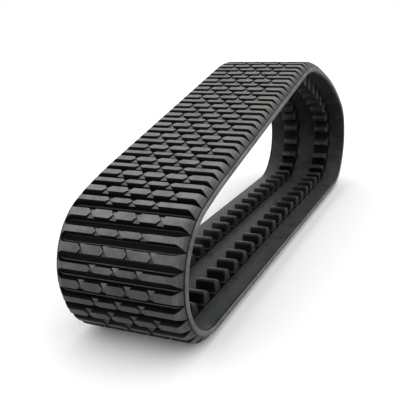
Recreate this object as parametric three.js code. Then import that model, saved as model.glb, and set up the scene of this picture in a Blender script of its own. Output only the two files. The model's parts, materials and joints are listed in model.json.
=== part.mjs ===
// Rubber track for a compact loader: an endless belt with internal drive lugs, standing on its lower run.
// X runs along the track with the front bend at -X, Y across it, +Z up. Millimetres.
// Off a machine the loop stands low at its rear bend, with a ridge in its top run.
// The belt is seven lengths joined by hinges on its cord line. Each length is built from the same
// layers: tread, bias ply, cord belt, three wheel lanes and two rows of drive lugs.
import * as THREE from 'three';
import { mergeVertices } from 'three/addons/utils/BufferGeometryUtils.js';

const beltWidth = 457.2;
const lugPitch = 101.6;

// Layers, as offsets from the cord line: outward is positive.
const layerGap = 0.3;
const cordHalfThickness = 1.8;
const plyThickness = 2;
const carcassOuter = 10;
const carcassInner = -10;
const edgeRubber = 18;

// Tread bars, two to each lug pitch, thick and thin by turns.
const barsPerPitch = 2;
const barHeight = 27;
const thickBarTop = 29;
const thinBarTop = 21;
const barDraft = 4.5;
const barTopHalf = 193;
const barFootHalf = 218.6;

// Drive lugs, one to each pitch in each row.
const lugInnerEdge = 55;
const lugWidth = 80;
const lugHeight = 48;
const lugFoot = 58;
const lugCrest = 27;
const lugFaceDraft = 6;
const lugCrestRadius = 9;
// A lug's middle along its pitch, as a share of the pitch.
const lugPlace = 0.32;

// The most that one hinge turns, which sets the wedge of clearance at each end of a length.
const largestTurn = THREE.MathUtils.degToRad(12);
const endClearance = 0.2;

// The shape of the cord line in order round the loop, from the front of the lower run. Each
// stretch is a number of lug pitches long and turns evenly by some degrees. They close the loop.
const stretches = [
  { at: 'lower run', pitches: 18, turn: 0 },
  { at: 'rear bend', pitches: 6, turn: 144.47174 },
  { at: 'rear slope', pitches: 7, turn: 25.87759 },
  { at: 'ridge', pitches: 2, turn: 22.54591 },
  { at: 'front slope', pitches: 10, turn: 0 },
  { at: 'front shoulder', pitches: 2, turn: 5.80168 },
  { at: 'front bend', pitches: 6, turn: 161.30308 },
];

// The lengths of belt in the same order, in lug pitches, with their facets counted per pitch.
const lengths = [
  { name: 'ground_run', pitches: 18, facets: 1 },
  { name: 'rear_lower_bend', pitches: 4, facets: 4 },
  { name: 'rear_upper_bend', pitches: 3, facets: 4 },
  { name: 'top_run_rear', pitches: 7, facets: 2 },
  { name: 'top_run_front', pitches: 11, facets: 2 },
  { name: 'front_upper_bend', pitches: 5, facets: 4 },
  { name: 'front_lower_bend', pitches: 3, facets: 4 },
];

// The belt's edges and lanes across its width.
const beltHalf = beltWidth / 2;
const lugOuterEdge = lugInnerEdge + lugWidth;
const cordHalfWidth = beltHalf - edgeRubber;
const plyInner = cordHalfThickness + layerGap;
const plyOuter = plyInner + plyThickness;
const treadInner = plyOuter + layerGap;
const laneOuter = -cordHalfThickness - layerGap;
const barPitch = lugPitch / barsPerPitch;

// How many degrees the belt turns between two places, given in lug pitches round the loop.
function turnBetween(from, to) {
  let start = 0;
  let sum = 0;
  for (const { pitches, turn } of stretches) {
    const shared = Math.min(to, start + pitches) - Math.max(from, start);
    sum += (turn * Math.max(shared, 0)) / pitches;
    start += pitches;
  }
  return sum;
}

// The cord line as a chain of straight facets. Every layer is an offset of this one chain, so the
// gaps between the layers stay even round the bends.
const stations = [];
const place = new THREE.Vector2(0, carcassOuter + barHeight);
let heading = 0;
let travelled = 0;
for (const length of lengths) {
  length.start = travelled * lugPitch;
  const share = 1 / length.facets;
  const facet = lugPitch * share;
  for (let i = 0; i < length.pitches * length.facets; i++) {
    const turn = THREE.MathUtils.degToRad(turnBetween(travelled, travelled + share));
    const chord = turn === 0 ? facet : (2 * facet * Math.sin(turn / 2)) / turn;
    const normal = new THREE.Vector2(Math.sin(heading), -Math.cos(heading));
    stations.push({ at: travelled * lugPitch, place: place.clone(), normal });
    const bearing = heading + turn / 2;
    place.add(new THREE.Vector2(Math.cos(bearing), Math.sin(bearing)).multiplyScalar(chord));
    heading += turn;
    travelled += share;
  }
  length.end = travelled * lugPitch;
}

// The origin is on the ground under the middle of the loop.
const reach = stations.map(({ place: at, normal }) => at.x + normal.x * (carcassOuter + barHeight));
const middle = (Math.min(...reach) + Math.max(...reach)) / 2;
stations.forEach((station) => station.place.setX(station.place.x - middle));
stations.push({ ...stations[0], at: travelled * lugPitch });

// The point at a distance along the belt and an offset from its cord line, as (x, z).
function pointAt(distance, offset) {
  let i = 0;
  while (i < stations.length - 2 && stations[i + 1].at <= distance) i++;
  const [from, to] = [stations[i], stations[i + 1]];
  const share = (distance - from.at) / (to.at - from.at);
  const start = from.place.clone().addScaledVector(from.normal, offset);
  const end = to.place.clone().addScaledVector(to.normal, offset);
  return start.lerp(end, share);
}

// A length ends short of its hinge by a wedge that leaves room for the hinge to turn.
function clipToLength(length, distance, offset) {
  const room = endClearance + Math.abs(offset) * Math.tan(largestTurn / 2);
  return THREE.MathUtils.clamp(distance, length.start + room, length.end - room);
}

// Distances of the facet corners of a length, both ends included.
function cornersOf(length) {
  const tolerance = 1e-6;
  const inside = stations
    .map((station) => station.at)
    .filter((at) => at > length.start + tolerance && at < length.end - tolerance);
  return [length.start, ...inside, length.end];
}

// A closed solid along a length, through one section at each distance. A section's corners are
// [y, offset], counter-clockwise, and the whole section is in sight of its first corner.
function loft(length, distances, sectionAt) {
  const sections = distances.map(sectionAt);
  const corners = sections[0].length;
  const points = sections.flatMap((section, row) => section.map(([y, offset]) => {
    const point = pointAt(clipToLength(length, distances[row], offset), offset);
    return new THREE.Vector3(point.x, y, point.y);
  }));
  const index = [];
  const last = (sections.length - 1) * corners;
  for (let row = 0; row < last; row += corners) {
    for (let i = 0; i < corners; i++) {
      const a = row + i;
      const b = row + ((i + 1) % corners);
      index.push(a, a + corners, b, b, a + corners, b + corners);
    }
  }
  for (let i = 1; i < corners - 1; i++) {
    index.push(0, i, i + 1, last, last + i + 1, last + i);
  }
  const geometry = new THREE.BufferGeometry();
  geometry.setFromPoints(points);
  geometry.setIndex(index);
  return geometry;
}

// A layer of constant section.
function layer(length, section) {
  return loft(length, cornersOf(length), () => section);
}

function rectangle(y0, y1, offset0, offset1) {
  return [[y0, offset0], [y1, offset0], [y1, offset1], [y0, offset1]];
}

// The tread: a base sheet and bars that fall away to the base at both shoulders.
function tread(length) {
  const profile = [[length.start, 0]];
  const bars = length.pitches * barsPerPitch;
  for (let bar = 0; bar < bars; bar++) {
    const middle = length.start + (bar + 0.5) * barPitch;
    const top = (bar % 2 === 0 ? thinBarTop : thickBarTop) / 2;
    profile.push([middle - top - barDraft, 0], [middle - top, 1]);
    profile.push([middle + top, 1], [middle + top + barDraft, 0]);
  }
  profile.push([length.end, 0]);
  const heightAt = (distance) => {
    let i = 0;
    while (i < profile.length - 2 && profile[i + 1][0] <= distance) i++;
    const [[from, low], [to, high]] = [profile[i], profile[i + 1]];
    return low + ((high - low) * (distance - from)) / (to - from);
  };
  const distances = profile.map(([distance]) => distance);
  for (const corner of cornersOf(length)) {
    if (length.facets > 1 && !distances.includes(corner)) distances.push(corner);
  }
  distances.sort((a, b) => a - b);
  return loft(length, distances, (distance) => {
    const top = carcassOuter + barHeight * heightAt(distance);
    return [
      [-beltHalf, treadInner], [beltHalf, treadInner], [beltHalf, carcassOuter],
      [barFootHalf, carcassOuter], [barTopHalf, top], [-barTopHalf, top],
      [-barFootHalf, carcassOuter], [-beltHalf, carcassOuter],
    ];
  });
}

// One row of drive lugs on its base strip, extruded across the row's width. A lug has a steep
// driving face towards the front, a rounded crest and a longer sloping back.
function lugRow(length, y0, y1) {
  const outline = [];
  const push = (distance, offset) => {
    outline.push(pointAt(clipToLength(length, distance, offset), offset));
  };
  const corners = cornersOf(length);
  corners.forEach((distance) => push(distance, laneOuter));
  const crest = carcassInner - lugHeight;
  const inner = [[length.start, carcassInner]];
  for (let lug = 0; lug < length.pitches; lug++) {
    const foot = length.start + (lug + lugPlace) * lugPitch - lugFoot / 2;
    const front = foot + lugFaceDraft;
    const back = front + lugCrest;
    inner.push([foot, carcassInner], [front, crest + lugCrestRadius / 2]);
    inner.push([front + lugCrestRadius / 2, crest], [back - lugCrestRadius, crest]);
    inner.push([back + lugCrestRadius / 2, crest + lugCrestRadius]);
    inner.push([foot + lugFoot, carcassInner]);
    if (lug + 1 < length.pitches) inner.push([length.start + (lug + 1) * lugPitch, carcassInner]);
  }
  inner.push([length.end, carcassInner]);
  inner.reverse().forEach(([distance, offset]) => push(distance, offset));
  const shape = new THREE.Shape(outline);
  const geometry = new THREE.ExtrudeGeometry(shape, { depth: y1 - y0, bevelEnabled: false });
  geometry.rotateX(Math.PI / 2);
  geometry.translate(0, y1, 0);
  return geometry;
}

const material = {
  tread: { color: 0x4a4b49, roughness: 0.72, metalness: 0 },
  ply: { color: 0x6f6553, roughness: 0.9, metalness: 0 },
  cord: { color: 0x9a9c9e, roughness: 0.4, metalness: 0.9 },
  lane: { color: 0x3a3d3c, roughness: 0.5, metalness: 0 },
  lug: { color: 0x252625, roughness: 0.6, metalness: 0 },
};

const group = new THREE.Group();

function addPiece(name, geometry, look) {
  geometry.deleteAttribute('normal');
  geometry.deleteAttribute('uv');
  const merged = mergeVertices(geometry, 1e-4);
  merged.computeVertexNormals();
  const mesh = new THREE.Mesh(merged, new THREE.MeshStandardMaterial(look));
  mesh.name = name;
  group.add(mesh);
}

// An outer wheel lane turns up at the belt's edge and closes the ends of the ply and the cords.
function outerLane(side) {
  const inside = side * (lugOuterEdge + layerGap);
  const step = side * (cordHalfWidth + layerGap);
  const edge = side * beltHalf;
  const section = [
    [step, laneOuter], [inside, laneOuter], [inside, carcassInner],
    [edge, carcassInner], [edge, plyOuter], [step, plyOuter],
  ];
  return side > 0 ? section : [section[0], ...section.slice(1).reverse()];
}

for (const length of lengths) {
  const { name } = length;
  const lane = lugInnerEdge - layerGap;
  addPiece(`${name}_tread`, tread(length), material.tread);
  addPiece(`${name}_bias_ply`,
    layer(length, rectangle(-cordHalfWidth, cordHalfWidth, plyInner, plyOuter)), material.ply);
  addPiece(`${name}_cord_belt`,
    layer(length, rectangle(-cordHalfWidth, cordHalfWidth, -cordHalfThickness, cordHalfThickness)),
    material.cord);
  addPiece(`${name}_wheel_lane_left`, layer(length, outerLane(1)), material.lane);
  addPiece(`${name}_wheel_lane_centre`,
    layer(length, rectangle(-lane, lane, carcassInner, laneOuter)), material.lane);
  addPiece(`${name}_wheel_lane_right`, layer(length, outerLane(-1)), material.lane);
  addPiece(`${name}_drive_lugs_left`, lugRow(length, lugInnerEdge, lugOuterEdge), material.lug);
  addPiece(`${name}_drive_lugs_right`, lugRow(length, -lugOuterEdge, -lugInnerEdge), material.lug);
}

export default group;
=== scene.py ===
import json
import math

import bmesh
import bpy
from mathutils import Matrix, Vector


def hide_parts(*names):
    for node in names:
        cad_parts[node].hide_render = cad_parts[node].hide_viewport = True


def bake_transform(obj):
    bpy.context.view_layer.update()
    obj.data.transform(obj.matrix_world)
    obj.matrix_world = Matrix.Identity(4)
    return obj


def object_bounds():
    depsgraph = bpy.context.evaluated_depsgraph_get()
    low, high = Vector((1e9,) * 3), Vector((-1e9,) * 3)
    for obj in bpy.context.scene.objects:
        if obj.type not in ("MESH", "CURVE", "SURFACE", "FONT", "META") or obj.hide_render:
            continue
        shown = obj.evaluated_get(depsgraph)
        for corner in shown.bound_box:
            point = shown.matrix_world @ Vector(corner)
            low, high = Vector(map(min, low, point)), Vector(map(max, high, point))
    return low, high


bl_info = {
    "name": "Rubber Track",
    "version": (1, 0, 0),
    "blender": (4, 5, 0),
    "location": "3D View > Sidebar > Rubber Track",
    "description": "Builds an endless rubber track round the hinges of its packed model",
    "category": "Object",
}

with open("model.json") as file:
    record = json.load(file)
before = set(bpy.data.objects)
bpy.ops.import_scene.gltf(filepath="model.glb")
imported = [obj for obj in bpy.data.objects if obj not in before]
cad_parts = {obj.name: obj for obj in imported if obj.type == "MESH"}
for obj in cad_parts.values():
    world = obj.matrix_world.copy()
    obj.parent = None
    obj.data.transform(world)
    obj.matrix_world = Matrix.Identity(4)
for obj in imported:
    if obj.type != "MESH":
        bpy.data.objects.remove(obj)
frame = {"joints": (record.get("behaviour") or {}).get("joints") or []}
CAD_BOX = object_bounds()
MM = 0.001

HINGES = {joint["name"]: Vector(joint["pos_m"]) for joint in frame["joints"]}
BELT_START = HINGES["front_lower_flex"]
LOWER_RUN_END = HINGES["rear_lower_flex"]

# The shape of the cord line in order round the loop, from the front of the lower run: how many
# lug pitches each stretch is long, and how many degrees it turns.
LOWER_RUN = 18
SHAPE = (
    (LOWER_RUN, 0.0),
    (6, 144.47174),
    (7, 25.87759),
    (2, 22.54591),
    (10, 0.0),
    (2, 5.80168),
    (6, 161.30308),
)
LUG_PITCH = (LOWER_RUN_END - BELT_START).length / LOWER_RUN


def linear(hex_colour):
    """An sRGB hex colour as linear red, green and blue."""
    parts = [int(hex_colour[i:i + 2], 16) / 255 for i in (1, 3, 5)]
    return tuple(c / 12.92 if c <= 0.04045 else ((c + 0.055) / 1.055) ** 2.4 for c in parts)


# ---------------------------------------------------------------- the cord line


class Stretch:
    """A straight or evenly turning stretch of the belt's cord line."""

    def __init__(self, start, heading, length, turn):
        self.start = start
        self.heading = heading
        self.length = length
        self.turn = turn

    def at(self, distance):
        """The point at a distance along the stretch, and the belt's heading there."""
        turned = self.turn * distance / self.length
        chord = distance if turned == 0 else 2 * distance * math.sin(turned / 2) / turned
        bearing = self.heading + turned / 2
        step = Vector((math.cos(bearing), 0, math.sin(bearing))) * chord
        return self.start + step, self.heading + turned


def cord_line():
    """The stretches of the loop, from the front of the lower run round to where it began."""
    stretches = []
    place, heading = BELT_START, 0.0
    for pitches, turn in SHAPE:
        stretches.append(Stretch(place, heading, pitches * LUG_PITCH, math.radians(turn)))
        place, heading = stretches[-1].at(stretches[-1].length)
    return stretches


STRETCHES = cord_line()
LOOP_LENGTH = sum(stretch.length for stretch in STRETCHES)


def on_belt(distance):
    """The cord line's point and heading at a distance round the loop."""
    left = distance % LOOP_LENGTH
    for stretch in STRETCHES:
        if left <= stretch.length:
            return stretch.at(left)
        left -= stretch.length
    return STRETCHES[-1].at(STRETCHES[-1].length)


class Span:
    """A length of belt with one hinge in it, and the two bodies that it joins."""

    def __init__(self, name, before, after, hinge, start, end, reach):
        self.name = name
        self.bodies = (before, after)
        self.start = start * LUG_PITCH
        self.lugs = end - start
        self.bend_from = on_belt((hinge - reach) * LUG_PITCH)[0]
        self.bend_to = on_belt((hinge + reach) * LUG_PITCH)[0]


# Where each span starts and ends, and its hinge, in lug pitches round the loop. The reach is how
# far on either side of the hinge the rubber shares the bending.
SPANS = (
    Span("rear_foot", "ground_run", "rear_lower_bend", 18, 9, 20, 1.9),
    Span("rear_nose", "rear_lower_bend", "rear_upper_bend", 22, 20, 23, 0.9),
    Span("rear_shoulder", "rear_upper_bend", "top_run_rear", 25, 23, 32, 1.9),
    Span("front_shoulder", "top_run_front", "front_upper_bend", 43, 32, 46, 2.9),
    Span("front_nose", "front_upper_bend", "front_lower_bend", 48, 46, 50, 1.9),
    Span("front_foot", "front_lower_bend", "ground_run", 51, 50, 60, 0.9),
)


# ---------------------------------------------------------------- what a user would change


class TrackSizes(bpy.types.PropertyGroup):
    belt_width: bpy.props.FloatProperty(
        name="Belt Width", description="Across the belt, edge to edge",
        default=457.2 * MM, unit="LENGTH")
    belt_thickness: bpy.props.FloatProperty(
        name="Belt Thickness", description="Through the belt where it is bare",
        default=19.6 * MM, unit="LENGTH")
    edge_radius: bpy.props.FloatProperty(
        name="Edge Radius", description="Rounding of the belt's side edges",
        default=6.6 * MM, unit="LENGTH")
    bar_height: bpy.props.FloatProperty(
        name="Bar Height", description="Tread bars above the bare belt",
        default=27 * MM, unit="LENGTH")
    thick_bar: bpy.props.FloatProperty(
        name="Thick Bar", description="Flat top of a thick bar along the belt",
        default=29 * MM, unit="LENGTH")
    thin_bar: bpy.props.FloatProperty(
        name="Thin Bar", description="Flat top of a thin bar along the belt",
        default=21 * MM, unit="LENGTH")
    block_length: bpy.props.FloatProperty(
        name="Block Length", description="One six-sided block, tip to tip across the belt",
        default=81.5 * MM, unit="LENGTH")
    bar_top_half: bpy.props.FloatProperty(
        name="Bar Top Half", description="From the belt's middle to where a bar falls away",
        default=193 * MM, unit="LENGTH")
    bar_foot_half: bpy.props.FloatProperty(
        name="Bar Foot Half", description="From the belt's middle to the end of a bar's foot",
        default=220 * MM, unit="LENGTH")
    lug_inner_edge: bpy.props.FloatProperty(
        name="Lug Inner Edge", description="From the belt's middle to a row of lugs",
        default=55 * MM, unit="LENGTH")
    lug_width: bpy.props.FloatProperty(
        name="Lug Width", description="A drive lug across the belt",
        default=80 * MM, unit="LENGTH")
    lug_height: bpy.props.FloatProperty(
        name="Lug Height", description="A drive lug above the inside of the belt",
        default=47.5 * MM, unit="LENGTH")
    lug_place: bpy.props.FloatProperty(
        name="Lug Place", description="Where a lug's middle is along its pitch, as a share of it",
        default=0.32)
    lane_rise: bpy.props.FloatProperty(
        name="Lane Rise", description="A wheel lane above the bare inside of the belt",
        default=1.6 * MM, unit="LENGTH")


class TrackColours(bpy.types.PropertyGroup):
    # Black rubber, made darker than it is so that it stands for the shade down in the grooves and
    # on faces turned from the light: painted shade.
    black_and_painted_shade: bpy.props.FloatVectorProperty(
        name="Groove", description="Clean rubber down in the grooves",
        subtype="COLOR", default=linear("#070707"))
    worn_top: bpy.props.FloatVectorProperty(
        name="Worn Top", description="Dry grey rubber on the tops of the blocks",
        subtype="COLOR", default=linear("#6b6c6a"))
    skin: bpy.props.FloatVectorProperty(
        name="Skin", description="The belt's bare skin",
        subtype="COLOR", default=linear("#727472"))
    lane: bpy.props.FloatVectorProperty(
        name="Wheel Lane", description="Smooth rubber where the wheels run",
        subtype="COLOR", default=linear("#3b3d3c"))
    # Shows only where the lugs' edges, ends and crests are painted lighter: the colour of a
    # painted highlight.
    lug: bpy.props.FloatVectorProperty(
        name="Drive Lug", description="Hard rubber of the drive lugs",
        subtype="COLOR", default=linear("#505250"))
    floor: bpy.props.FloatVectorProperty(
        name="Floor", description="The studio floor", subtype="COLOR", default=linear("#e9e9e9"))


class TrackStage(bpy.types.PropertyGroup):
    azimuth: bpy.props.FloatProperty(
        name="Azimuth", description="Round from a view along +Y",
        default=math.radians(-65.83), subtype="ANGLE")
    elevation: bpy.props.FloatProperty(
        name="Elevation", description="Above the horizon",
        default=math.radians(16.9), subtype="ANGLE")
    roll: bpy.props.FloatProperty(
        name="Roll", description="The camera's tilt round its own axis",
        default=math.radians(-2.07), subtype="ANGLE")
    distance: bpy.props.FloatProperty(
        name="Distance", description="From the camera to what it looks at",
        default=2.4315, unit="LENGTH")
    target_forward: bpy.props.FloatProperty(
        name="Target Forward", description="What the camera looks at, behind the front hinge",
        default=0.4026, unit="LENGTH")
    target_height: bpy.props.FloatProperty(
        name="Target Height", description="What the camera looks at, above the ground",
        default=0.3378, unit="LENGTH")
    focal_length: bpy.props.FloatProperty(
        name="Focal Length", description="On a 36 mm wide sensor", default=56.41)


# ---------------------------------------------------------------- node and mesh helpers


def add_node(tree, kind, links=None, **settings):
    """A node with its settings, and its inputs set to a value or linked to a socket."""
    node = tree.nodes.new(kind)
    for key, value in settings.items():
        setattr(node, key, value)
    for key, value in (links or {}).items():
        if isinstance(value, bpy.types.NodeSocket):
            tree.links.new(value, node.inputs[key])
        else:
            node.inputs[key].default_value = value
    return node


def new_tree(name, inputs):
    """A geometry tree with a Geometry input and the named inputs, and its input node."""
    tree = bpy.data.node_groups.new(name, "GeometryNodeTree")
    tree.interface.new_socket("Geometry", in_out="INPUT", socket_type="NodeSocketGeometry")
    tree.interface.new_socket("Geometry", in_out="OUTPUT", socket_type="NodeSocketGeometry")
    for label, kind in inputs.items():
        tree.interface.new_socket(label, in_out="INPUT", socket_type=f"NodeSocket{kind}")
    return tree, add_node(tree, "NodeGroupInput")


def finish_tree(tree, geometry, material):
    """Ends a tree in Realize Instances and Set Material."""
    real = add_node(tree, "GeometryNodeRealizeInstances", {"Geometry": geometry})
    painted = add_node(
        tree, "GeometryNodeSetMaterial", {"Geometry": real.outputs[0], "Material": material})
    add_node(tree, "NodeGroupOutput", {"Geometry": painted.outputs[0]})


def grow(path, tree, name, values):
    """Runs a tree on an object with the named values, and returns the result as a plain mesh."""
    modifier = path.modifiers.new(tree.name, "NODES")
    modifier.node_group = tree
    for item in tree.interface.items_tree:
        if item.in_out == "INPUT" and item.name in values:
            modifier[item.identifier] = values[item.name]
    evaluated = path.evaluated_get(bpy.context.evaluated_depsgraph_get())
    mesh = bpy.data.meshes.new_from_object(evaluated)
    piece = bpy.data.objects.new(name, mesh)
    bpy.context.scene.collection.objects.link(piece)
    bpy.data.objects.remove(path)
    if not mesh.polygons:
        raise RuntimeError(f"{name} came out empty")
    return piece


def path_of(span, steps_per_pitch=12):
    """The cord line of a span as a curve object."""
    count = span.lugs * steps_per_pitch + 1
    curve = bpy.data.curves.new(span.name, "CURVE")
    curve.dimensions = "3D"
    line = curve.splines.new("POLY")
    line.points.add(count - 1)
    for i, point in enumerate(line.points):
        distance = span.start + i / steps_per_pitch * LUG_PITCH
        point.co = (*on_belt(distance)[0], 1)
    path = bpy.data.objects.new(span.name, curve)
    bpy.context.scene.collection.objects.link(path)
    return path


def smooth_but_crisp(mesh, angle=math.radians(38)):
    """Shades a mesh smooth and keeps its edges crisper than an angle."""
    bm = bmesh.new()
    bm.from_mesh(mesh)
    bmesh.ops.remove_doubles(bm, verts=bm.verts, dist=0.02 * MM)
    bmesh.ops.recalc_face_normals(bm, faces=bm.faces)
    for face in bm.faces:
        face.smooth = True
    for edge in bm.edges:
        edge.smooth = edge.is_manifold and edge.calc_face_angle(math.pi) < angle
    bm.to_mesh(mesh)
    bm.free()


def paint_facing_shade(mesh, least=0.3, sideways=0.33):
    """Paints shade into the rubber by the way each face looks as the loop stands: it stays grey
    where it faces up towards the overhead light, less so where it faces sideways, and is darkened
    elsewhere as painted shade."""
    for polygon, item in zip(mesh.polygons, mesh.attributes["wear"].data):
        # Painted shade: the grey is cut on faces turned down or away from the light.
        facing = max(0.0, polygon.normal.z, sideways * abs(polygon.normal.y))
        item.value *= least + (1 - least) * facing


def nodes_of(span, *kinds):
    """The CAD nodes of a span's two bodies that are of these kinds."""
    return [f"{body}_{kind}" for body in span.bodies for kind in kinds]


def join_to_frame(piece, span, slot, *kinds):
    """Shades a piece smooth with crisp edges, paints its shade by facing, bakes its placement and
    hides the CAD nodes of these kinds that it stands for.
    """
    smooth_but_crisp(piece.data)
    # Paints shade by the way each face looks: faces turned from the light get darker.
    paint_facing_shade(piece.data)
    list(span.bodies)
    span.bend_from
    span.bend_to
    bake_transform(piece)
    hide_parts(*nodes_of(span, *kinds))


# ---------------------------------------------------------------- materials


def rubber(name, low, high, roughness, mottle, grain_depth, specular):
    """Moulded rubber that fades from one colour to another by the mesh's attribute of wear and
    painted light and shade. Broad mottling stands for handling dust, and a fine grain for the
    mould's blasted face."""
    material = bpy.data.materials.new(name)
    material.use_nodes = True
    tree = material.node_tree
    tree.nodes.clear()
    # Dust lies in patches with finer blotches over it. The grain is coarser than the mould's real
    # texture so that it shows.
    patch_size, blotch_size, grain_size = 60 * MM, 9 * MM, 1.2 * MM
    place = add_node(tree, "ShaderNodeTexCoord").outputs["Object"]
    wear = add_node(tree, "ShaderNodeAttribute", attribute_name="wear").outputs["Fac"]
    dust = add_node(tree, "ShaderNodeTexNoise", {
        "Vector": place, "Scale": 1 / patch_size, "Detail": 5.0, "Roughness": 0.62})
    blotch = add_node(tree, "ShaderNodeTexNoise", {
        "Vector": place, "Scale": 1 / blotch_size, "Detail": 3.0, "Roughness": 0.55})
    grain = add_node(tree, "ShaderNodeTexNoise", {
        "Vector": place, "Scale": 1 / grain_size, "Detail": 2.0, "Roughness": 0.5})
    patches = add_node(tree, "ShaderNodeMapRange", {
        "Value": dust.outputs["Fac"], "From Min": 0.35, "From Max": 0.65,
        "To Min": 1 - mottle, "To Max": 1 + mottle * 0.6})
    # How grey each spot is, from wear, dust patches and painted light and shade.
    worn_and_lit_share = add_node(tree, "ShaderNodeMath", {
        0: wear, 1: patches.outputs["Result"]}, operation="MULTIPLY", use_clamp=True)
    base = add_node(tree, "ShaderNodeMix", {
        0: worn_and_lit_share.outputs[0], 6: (*low, 1), 7: (*high, 1)}, data_type="RGBA")
    shade = add_node(tree, "ShaderNodeMapRange", {
        "Value": blotch.outputs["Fac"], "From Min": 0.3, "From Max": 0.7,
        "To Min": 1 - mottle * 0.35, "To Max": 1 + mottle * 0.25})
    tint = add_node(tree, "ShaderNodeVectorMath", {
        0: base.outputs[2], 1: shade.outputs["Result"]}, operation="MULTIPLY")
    sheen = add_node(tree, "ShaderNodeMapRange", {
        "Value": dust.outputs["Fac"], "From Min": 0.3, "From Max": 0.7,
        "To Min": roughness - 0.07, "To Max": roughness + 0.08})
    fine = add_node(tree, "ShaderNodeBump", {
        "Height": grain.outputs["Fac"], "Strength": 0.35, "Distance": grain_depth})
    broad = add_node(tree, "ShaderNodeBump", {
        "Height": blotch.outputs["Fac"], "Normal": fine.outputs["Normal"],
        "Strength": 0.25, "Distance": 0.6 * MM})
    shader = add_node(tree, "ShaderNodeBsdfPrincipled", {
        "Base Color": tint.outputs["Vector"], "Roughness": sheen.outputs["Result"],
        "Normal": broad.outputs["Normal"], "IOR": 1.5,
        "Specular IOR Level": specular})
    add_node(tree, "ShaderNodeOutputMaterial", {"Surface": shader.outputs["BSDF"]})
    return material


# ---------------------------------------------------------------- belt and lanes


def strip_tree():
    """A rounded flat strip that follows a path at an offset from it."""
    tree, given = new_tree("Strip Along Belt", {
        "Width": "Float", "Thickness": "Float", "Edge Radius": "Float",
        "Sideways": "Float", "Inward": "Float", "Material": "Material"})
    flat = add_node(tree, "GeometryNodeCurvePrimitiveQuadrilateral", {
        "Width": given.outputs["Width"], "Height": given.outputs["Thickness"]})
    rounded = add_node(tree, "GeometryNodeFilletCurve", {
        "Curve": flat.outputs[0], "Radius": given.outputs["Edge Radius"],
        "Limit Radius": True, "Count": 4}, mode="POLY")
    shift = add_node(tree, "ShaderNodeCombineXYZ", {
        "X": given.outputs["Sideways"], "Y": given.outputs["Inward"]})
    placed = add_node(tree, "GeometryNodeTransform", {
        "Geometry": rounded.outputs[0], "Translation": shift.outputs[0]})
    level = add_node(tree, "GeometryNodeSetCurveNormal", {
        "Curve": given.outputs["Geometry"], "Normal": (0, 1, 0)}, mode="FREE")
    swept = add_node(tree, "GeometryNodeCurveToMesh", {
        "Curve": level.outputs[0], "Profile Curve": placed.outputs[0], "Fill Caps": True})
    finish_tree(tree, swept.outputs[0], given.outputs["Material"])
    return tree


def set_wear_and_painted_light(mesh, wear_and_light_of):
    """Stores how grey the rubber is on each face, from 0 to 1, for its wear and for painted light
    and shade.
    """
    wear = mesh.attributes.new("wear", "FLOAT", "FACE")
    for polygon, item in zip(mesh.polygons, wear.data):
        item.value = wear_and_light_of(polygon)


class BeltOperator(bpy.types.Operator):
    """Builds the belt itself, with its rounded side edges"""
    bl_idname = "rubber_track.belt"
    bl_label = "Belt"

    def execute(self, context):
        sizes = context.scene.track_sizes
        colours = context.scene.track_colours
        # Moulded carbon-black rubber with a satin skin, a little lighter round its side edges.
        skin = rubber("moulded_carbon_black_rubber", colours.black_and_painted_shade, colours.skin,
                      roughness=0.5, mottle=0.35, grain_depth=0.12 * MM, specular=0.06)
        tree = strip_tree()
        for span in SPANS:
            piece = grow(path_of(span), tree, f"{span.name}_belt", {
                "Width": sizes.belt_width, "Thickness": sizes.belt_thickness,
                "Edge Radius": sizes.edge_radius, "Sideways": 0.0, "Inward": 0.0,
                "Material": skin})
            # The skin is black on its flat faces, which is painted shade down in the grooves, and
            # grey round the side edges.
            set_wear_and_painted_light(piece.data, lambda polygon: min(1.0, 2 * abs(polygon.normal.y)))
            join_to_frame(piece, span, "tread_rubber", "bias_ply", "cord_belt")
        return {"FINISHED"}


class WheelLaneOperator(bpy.types.Operator):
    """Builds the three smooth lanes that the wheels run on"""
    bl_idname = "rubber_track.wheel_lanes"
    bl_label = "Wheel Lanes"

    def execute(self, context):
        sizes = context.scene.track_sizes
        colours = context.scene.track_colours
        # Smooth rubber polished by the mould and the wheels, so it takes a soft broad shine.
        smooth = rubber("smooth_polished_rubber", colours.black_and_painted_shade, colours.lane,
                        roughness=0.34, mottle=0.35, grain_depth=0.04 * MM, specular=0.1)
        tree = strip_tree()
        sunk = 1.5 * MM
        margin = 5 * MM
        lug_outer_edge = sizes.lug_inner_edge + sizes.lug_width
        outer_width = sizes.belt_width / 2 - lug_outer_edge - 3 * margin
        outer_place = lug_outer_edge + margin + outer_width / 2
        lanes = {
            "left": (outer_place, outer_width),
            "centre": (0.0, 2 * (sizes.lug_inner_edge - margin)),
            "right": (-outer_place, outer_width),
        }
        depth = sizes.lane_rise + sunk
        inward = sizes.belt_thickness / 2 + sizes.lane_rise - depth / 2
        for span in SPANS:
            for side, (sideways, width) in lanes.items():
                piece = grow(path_of(span), tree, f"{span.name}_wheel_lane_{side}", {
                    "Width": width, "Thickness": depth, "Edge Radius": 1.2 * MM,
                    "Sideways": sideways, "Inward": inward, "Material": smooth})
                # Grey all over here, then darkened by painted shade where a lane faces away from
                # the light.
                set_wear_and_painted_light(piece.data, lambda polygon: 1.0)
                join_to_frame(piece, span, "lane_rubber", f"wheel_lane_{side}")
        return {"FINISHED"}


# ---------------------------------------------------------------- tread bars and drive lugs


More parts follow.
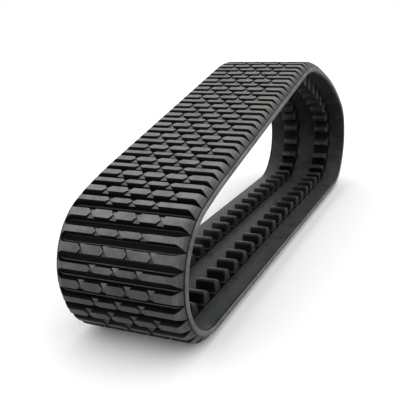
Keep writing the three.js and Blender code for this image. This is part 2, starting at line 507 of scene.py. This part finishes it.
def template(name, points, faces, bevel, wear_and_light_of):
    """A closed mesh with softened edges and its wear and painted light and shade, kept out of the
    scene for instancing.
    """
    bm = bmesh.new()
    made = [bm.verts.new(point) for point in points]
    for face in faces:
        bm.faces.new([made[i] for i in face])
    bmesh.ops.recalc_face_normals(bm, faces=bm.faces)
    sharp = [edge for edge in bm.edges if edge.calc_face_angle(0) > math.radians(24)]
    bmesh.ops.bevel(bm, geom=sharp, offset=bevel, segments=2, profile=0.5, affect="EDGES",
                    clamp_overlap=True)
    mesh = bpy.data.meshes.new(name)
    bm.to_mesh(mesh)
    bm.free()
    set_wear_and_painted_light(mesh, wear_and_light_of)
    return bpy.data.objects.new(name, mesh)


def bar_mesh(sizes, top_width, tips):
    """Points and faces of a bar of six-sided blocks that meet tip to tip over low webs. Its own
    X runs along the belt, Y across it, and its top is towards -Z."""
    height = sizes.bar_height
    base = sizes.belt_thickness / 2
    half = top_width / 2
    # The walls lean out by a moulding draft, flare at their foot and sink into the belt.
    draft, flare, skirt = 3.5 * MM, 3 * MM, 3 * MM
    point_depth, tip_gap = 12.5 * MM, 1.2 * MM
    web_top, web_edge = height - 4 * MM, height * 0.6
    points, faces = [], []

    def put(x, y, up):
        place = (round(x, 7), round(y, 7), round(-(base + up), 7))
        if place not in points:
            points.append(place)
        return points.index(place)

    def face(*corners):
        ring = list(dict.fromkeys(corners))
        if len(ring) > 2:
            faces.append(ring)

    def wall(up):
        return half + draft * (height - up) / height

    foot = wall(flare) + 0.8 * flare
    profile = [(half, height), (wall(web_edge), web_edge), (wall(flare), flare), (foot, 0),
               (foot, -skirt)]
    stations = [-sizes.bar_top_half]
    for tip in tips:
        stations += [tip - point_depth, tip + point_depth]
    stations.append(sizes.bar_top_half)
    for i, (y0, y1) in enumerate(zip(stations, stations[1:])):
        over_web = i % 2 == 1
        rows = profile[1:] if over_web else profile
        for side in (-1, 1):
            for (xa, za), (xb, zb) in zip(rows, rows[1:]):
                face(put(side * xa, y0, za), put(side * xa, y1, za),
                     put(side * xb, y1, zb), put(side * xb, y0, zb))
        face(put(-foot, y0, -skirt), put(foot, y0, -skirt), put(foot, y1, -skirt),
             put(-foot, y1, -skirt))
        if not over_web:
            # The flat top of a block, with a tip wherever it meets a neighbour.
            ring = [put(-half, y0, height)]
            if i > 0:
                ring.append(put(0, y0 - point_depth + tip_gap, height))
            ring += [put(half, y0, height), put(half, y1, height)]
            if i < len(stations) - 2:
                ring.append(put(0, y1 + point_depth - tip_gap, height))
            ring.append(put(-half, y1, height))
            face(*ring)
            continue
        near, far = (y0 + y1) / 2 - tip_gap, (y0 + y1) / 2 + tip_gap
        for side in (-1, 1):
            # The web slopes from between the two tips down to the bar's side.
            edge = side * wall(web_edge)
            face(put(0, near, web_top), put(0, far, web_top), put(edge, y1, web_edge),
                 put(edge, y0, web_edge))
            for tip, corner in ((near, y0), (far, y1)):
                # The block's slanting end stands above the web, and meets the side wall.
                face(put(0, tip, height), put(side * half, corner, height),
                     put(edge, corner, web_edge), put(0, tip, web_top))
    # The shoulder rounds over and falls to the belt, and spreads until it meets the next bar's.
    spread = LUG_PITCH / 4
    fall_power, spread_power = 1.6, 1.25
    for end in (-1, 1):
        rings = []
        for share in (0.0, 0.3, 0.6, 0.85, 1.0):
            y = end * (sizes.bar_top_half + share * (sizes.bar_foot_half - sizes.bar_top_half))
            left = 1 - share ** fall_power
            widened = share ** spread_power
            rings.append([(x + (spread - x) * widened, y, up * left if up > 0 else up)
                          for x, up in profile])
        for ring, later in zip(rings, rings[1:]):
            for side in (-1, 1):
                for (xa, ya, za), (xb, yb, zb), (xc, yc, zc), (xd, yd, zd) in zip(
                        ring[:-1], ring[1:], later[:-1], later[1:]):
                    face(put(side * xa, ya, za), put(side * xb, yb, zb),
                         put(side * xd, yd, zd), put(side * xc, yc, zc))
            for level in (0, -1):
                (xa, ya, za), (xb, yb, zb) = ring[level], later[level]
                face(put(-xa, ya, za), put(xa, ya, za), put(xb, yb, zb), put(-xb, yb, zb))
        x, y, up = rings[-1][0]
        face(put(-x, y, up), put(x, y, up), put(x, y, -skirt), put(-x, y, -skirt))
    return points, faces


def lug_mesh(sizes):
    """Points and faces of a drive lug: a steep driving face, a rounded crest and a curved back.
    Its own X runs along the belt, and its crest is towards +Z."""
    base = sizes.belt_thickness / 2
    high = sizes.lug_height
    length = 58 * MM
    sunk = 3 * MM
    # Along the belt and up, as shares of the lug's length and height.
    outline = [
        (-0.50, 0.0), (-0.46, 0.05), (-0.435, 0.14), (-0.40, 0.80), (-0.375, 0.92),
        (-0.32, 0.985), (-0.25, 1.0), (-0.05, 0.99), (0.09, 0.93), (0.20, 0.81),
        (0.29, 0.62), (0.36, 0.38), (0.41, 0.17), (0.45, 0.06), (0.50, 0.0),
    ]
    rim = [(x * length, base + up * high) for x, up in outline]
    rim += [(rim[-1][0], base - sunk), (rim[0][0], base - sunk)]
    half = sizes.lug_width / 2
    # Both ends are rounded: how far in from the end, and how much of the size is lost there.
    rounding = ((0, 0.10), (2 * MM, 0.035), (8 * MM, 0.0))
    rings = [(inset - half, lost) for inset, lost in rounding]
    rings += [(-place, lost) for place, lost in reversed(rings)]
    points = [(x * (1 - lost), y, base + (z - base) * (1 - lost))
              for y, lost in rings for x, z in rim]
    count = len(rim)
    faces = [list(range(count)), list(range(len(points) - count, len(points)))]
    for start in range(0, len(points) - count, count):
        for i in range(count):
            j = (i + 1) % count
            faces.append([start + i, start + j, start + count + j, start + count + i])
    return points, faces


def row_tree():
    """Copies of a piece set along a path at even spacing, square to the path. Each copy is
    shifted by a hair so that the row looks moulded and not drawn."""
    tree, given = new_tree("Row Along Belt", {
        "Piece": "Object", "First Place": "Float", "Last Place": "Float", "Count": "Int",
        "Sideways": "Float", "Wobble": "Float", "Material": "Material"})
    trimmed = add_node(tree, "GeometryNodeTrimCurve", {
        "Curve": given.outputs["Geometry"], 2: given.outputs["First Place"],
        3: given.outputs["Last Place"]}, mode="FACTOR")
    spots = add_node(tree, "GeometryNodeCurveToPoints", {
        "Curve": trimmed.outputs[0], "Count": given.outputs["Count"]}, mode="COUNT")
    along = add_node(tree, "ShaderNodeSeparateXYZ", {"Vector": spots.outputs["Tangent"]})
    heading = add_node(tree, "ShaderNodeMath", {
        0: along.outputs["Z"], 1: along.outputs["X"]}, operation="ARCTAN2")
    back = add_node(tree, "ShaderNodeMath", {0: heading.outputs[0], 1: -1.0},
                    operation="MULTIPLY")
    turned = add_node(tree, "ShaderNodeCombineXYZ", {"Y": back.outputs[0]})
    source = add_node(tree, "GeometryNodeObjectInfo", {"Object": given.outputs["Piece"]})
    copies = add_node(tree, "GeometryNodeInstanceOnPoints", {
        "Points": spots.outputs["Points"], "Instance": source.outputs["Geometry"],
        "Rotation": turned.outputs[0]})
    jitter = add_node(tree, "FunctionNodeRandomValue", {
        "Min": (-1, -1, -0.4), "Max": (1, 1, 0.4), "Seed": 7}, data_type="FLOAT_VECTOR")
    hair = add_node(tree, "ShaderNodeVectorMath", {
        0: jitter.outputs[0], "Scale": given.outputs["Wobble"]}, operation="SCALE")
    side = add_node(tree, "ShaderNodeCombineXYZ", {"Y": given.outputs["Sideways"]})
    shift = add_node(tree, "ShaderNodeVectorMath", {
        0: hair.outputs[0], 1: side.outputs[0]}, operation="ADD")
    placed = add_node(tree, "GeometryNodeTranslateInstances", {
        "Instances": copies.outputs[0], "Translation": shift.outputs[0]})
    finish_tree(tree, placed.outputs[0], given.outputs["Material"])
    return tree


def join_meshes(pieces, name):
    """Several pieces made one."""
    bm = bmesh.new()
    for piece in pieces:
        bm.from_mesh(piece.data)
    mesh = pieces[0].data
    bm.to_mesh(mesh)
    bm.free()
    for piece in pieces[1:]:
        bpy.data.objects.remove(piece)
    pieces[0].name = name
    return pieces[0]


class TreadOperator(bpy.types.Operator):
    """Builds the tread bars, thick and thin by turns, from blocks that meet tip to tip"""
    bl_idname = "rubber_track.tread"
    bl_label = "Tread Bars"

    @staticmethod
    def wear_and_light_of(polygon):
        """Bars are grey on top, where they look outwards, as worn rubber, and black down their
        steep walls as painted shade.
        """
        outwards = -polygon.normal.z
        return min(1.0, max(0.0, 2.4 * outwards - 0.85))

    def execute(self, context):
        sizes = context.scene.track_sizes
        colours = context.scene.track_colours
        # Moulded carbon-black rubber, dry and grey on the block tops, and black in the grooves as
        # painted shade.
        tread = rubber("worn_tread_rubber", colours.black_and_painted_shade, colours.worn_top,
                       roughness=0.5, mottle=0.3, grain_depth=0.2 * MM, specular=0.13)
        step = sizes.block_length
        bars = []
        for name, width, tips in (
                ("thick_bar", sizes.thick_bar, (-1.5 * step, -0.5 * step, 0.5 * step, 1.5 * step)),
                ("thin_bar", sizes.thin_bar, (-step, 0.0, step))):
            points, faces = bar_mesh(sizes, width, tips)
            bars.append(template(name, points, faces, 1.1 * MM, self.wear_and_light_of))
        tree = row_tree()
        for span in SPANS:
            rows = []
            for bar, first in zip(bars, (0.75, 0.25)):
                rows.append(grow(path_of(span), tree, bar.name, {
                    "Piece": bar, "First Place": first / span.lugs,
                    "Last Place": 1 - (1 - first) / span.lugs, "Count": span.lugs,
                    "Sideways": 0.0, "Wobble": 0.25 * MM, "Material": tread}))
            piece = join_meshes(rows, f"{span.name}_tread_bars")
            join_to_frame(piece, span, "tread_rubber", "tread")
        return {"FINISHED"}


class LugOperator(bpy.types.Operator):
    """Builds the two rows of drive lugs on the inside of the belt"""
    bl_idname = "rubber_track.drive_lugs"
    bl_label = "Drive Lugs"

    @staticmethod
    def wear_and_light_of(polygon):
        """Lugs are painted lighter on their edges, ends and crests, where light catches them, as
        painted highlights, and left dark in front as painted shade. The edges are the small faces
        that don't look down."""
        edge_area = 90 * MM * MM
        if polygon.area < edge_area and polygon.normal.z > -0.5:
            return 0.4
        return 0.35 * max(0.0, polygon.normal.z) + 0.4 * abs(polygon.normal.y)

    def execute(self, context):
        sizes = context.scene.track_sizes
        colours = context.scene.track_colours
        # Hard moulded rubber, nearly black, with a satin shine of its own, and painted highlights
        # on its edges, ends and crests.
        hard = rubber("hard_moulded_rubber", colours.black_and_painted_shade, colours.lug,
                      roughness=0.36, mottle=0.3, grain_depth=0.08 * MM, specular=0.22)
        points, faces = lug_mesh(sizes)
        lug = template("lug", points, faces, 1.6 * MM, self.wear_and_light_of)
        tree = row_tree()
        place = sizes.lug_inner_edge + sizes.lug_width / 2
        for span in SPANS:
            for side, sideways in (("left", place), ("right", -place)):
                piece = grow(path_of(span), tree, f"{span.name}_drive_lugs_{side}", {
                    "Piece": lug, "First Place": sizes.lug_place / span.lugs,
                    "Last Place": 1 - (1 - sizes.lug_place) / span.lugs, "Count": span.lugs,
                    "Sideways": sideways, "Wobble": 0.3 * MM, "Material": hard})
                join_to_frame(piece, span, "lug_rubber", f"drive_lugs_{side}")
        return {"FINISHED"}


# ---------------------------------------------------------------- stage


def area_light(name, place, target, width, height, power, colour):
    """A rectangular soft light that looks at a target."""
    light = bpy.data.lights.new(name, "AREA")
    light.shape = "RECTANGLE"
    light.size = width
    light.size_y = height
    light.energy = power
    light.color = linear(colour)
    lamp = bpy.data.objects.new(name, light)
    bpy.context.scene.collection.objects.link(lamp)
    lamp.matrix_world = (Matrix.Translation(place)
                         @ (target - place).to_track_quat("-Z", "Y").to_matrix().to_4x4())


class StageOperator(bpy.types.Operator):
    """Builds the floor, the studio lights and the camera"""
    bl_idname = "rubber_track.stage"
    bl_label = "Stage"

    def execute(self, context):
        self.floor(context.scene.track_colours)
        self.lights()
        self.camera(context.scene, context.scene.track_stage)
        return {"FINISHED"}

    def floor(self, colours):
        # So wide that its edges are never seen.
        half = 60.0
        mesh = bpy.data.meshes.new("floor")
        mesh.from_pydata(
            [(-half, -half, 0), (half, -half, 0), (half, half, 0), (-half, half, 0)],
            [], [(0, 1, 2, 3)])
        sheet = bpy.data.objects.new("floor", mesh)
        bpy.context.scene.collection.objects.link(sheet)
        # Matt white studio board.
        board = bpy.data.materials.new("matt_white_board")
        board.use_nodes = True
        shader = board.node_tree.nodes["Principled BSDF"]
        shader.inputs["Base Color"].default_value = (*colours.floor, 1)
        shader.inputs["Roughness"].default_value = 0.9
        shader.inputs["Specular IOR Level"].default_value = 0.1
        mesh.materials.append(board)

    def lights(self):
        world = bpy.data.worlds.new("studio")
        bpy.context.scene.world = world
        world.use_nodes = True
        tree = world.node_tree
        tree.nodes.clear()
        # The room is white round the horizon and dimmer overhead and underfoot.
        aim = add_node(tree, "ShaderNodeTexCoord").outputs["Generated"]
        height = add_node(tree, "ShaderNodeSeparateXYZ", {"Vector": aim}).outputs["Z"]
        level = add_node(tree, "ShaderNodeMath", {0: height}, operation="ABSOLUTE").outputs[0]
        strength = add_node(tree, "ShaderNodeMapRange", {
            "Value": level, "From Min": 0.3, "From Max": 0.55, "To Min": 1.0, "To Max": 0.25})
        background = add_node(tree, "ShaderNodeBackground", {
            "Color": (*linear("#ffffff"), 1), "Strength": strength.outputs["Result"]})
        add_node(tree, "ShaderNodeOutputWorld", {"Surface": background.outputs[0]})
        # A huge soft source overhead leans a little towards the camera.
        sun = bpy.data.lights.new("overhead", "SUN")
        sun.energy = 3.55
        sun.angle = math.radians(130)
        lamp = bpy.data.objects.new("overhead", sun)
        bpy.context.scene.collection.objects.link(lamp)
        lean = Vector((-0.12, -0.1, 1.0))
        lamp.matrix_world = lean.to_track_quat("Z", "Y").to_matrix().to_4x4()
        middle = (CAD_BOX[0] + CAD_BOX[1]) / 2
        area_light("front_fill", middle + Vector((-2.2, -0.8, 2.0)), middle,
                   width=1.4, height=0.8, power=2, colour="#f2f8ff")

    def camera(self, scene, stage):
        data = bpy.data.cameras.new("camera")
        data.sensor_width = 36
        data.lens = stage.focal_length
        data.clip_end = 100
        camera = bpy.data.objects.new("camera", data)
        scene.collection.objects.link(camera)
        around, up_angle, roll = stage.azimuth, stage.elevation, stage.roll
        back = Vector((math.sin(around) * math.cos(up_angle),
                       -math.cos(around) * math.cos(up_angle), math.sin(up_angle)))
        right = Vector((math.cos(around), math.sin(around), 0))
        up = back.cross(right)
        side = right * math.cos(roll) + up * math.sin(roll)
        top = up * math.cos(roll) - right * math.sin(roll)
        target = Vector((BELT_START.x + stage.target_forward, 0, stage.target_height))
        turn = Matrix((side, top, back)).transposed().to_4x4()
        camera.matrix_world = Matrix.Translation(target + back * stage.distance) @ turn
        scene.camera = camera
        scene.view_settings.view_transform = "Standard"


# ---------------------------------------------------------------- panel and running


class TrackPanel(bpy.types.Panel):
    """The track's sizes, colours and building steps"""
    bl_idname = "VIEW3D_PT_rubber_track"
    bl_label = "Rubber Track"
    bl_space_type = "VIEW_3D"
    bl_region_type = "UI"
    bl_category = "Rubber Track"

    def draw(self, context):
        for step in STEPS:
            self.layout.operator(step.bl_idname)
        for name in GROUPS:
            group = getattr(context.scene, name)
            box = self.layout.box()
            for key in group.__annotations__:
                box.prop(group, key)


STEPS = (BeltOperator, WheelLaneOperator, TreadOperator, LugOperator, StageOperator)
GROUPS = {"track_sizes": TrackSizes, "track_colours": TrackColours, "track_stage": TrackStage}


def register():
    for group in GROUPS.values():
        bpy.utils.register_class(group)
    for name, group in GROUPS.items():
        setattr(bpy.types.Scene, name, bpy.props.PointerProperty(type=group))
    for step in (*STEPS, TrackPanel):
        bpy.utils.register_class(step)


def unregister():
    for step in reversed((*STEPS, TrackPanel)):
        bpy.utils.unregister_class(step)
    for name in GROUPS:
        delattr(bpy.types.Scene, name)
    for group in reversed(GROUPS.values()):
        bpy.utils.unregister_class(group)


def main():
    register()
    bpy.ops.rubber_track.belt()
    bpy.ops.rubber_track.wheel_lanes()
    bpy.ops.rubber_track.tread()
    bpy.ops.rubber_track.drive_lugs()
    bpy.ops.rubber_track.stage()


if __name__ == "__main__":
    main()
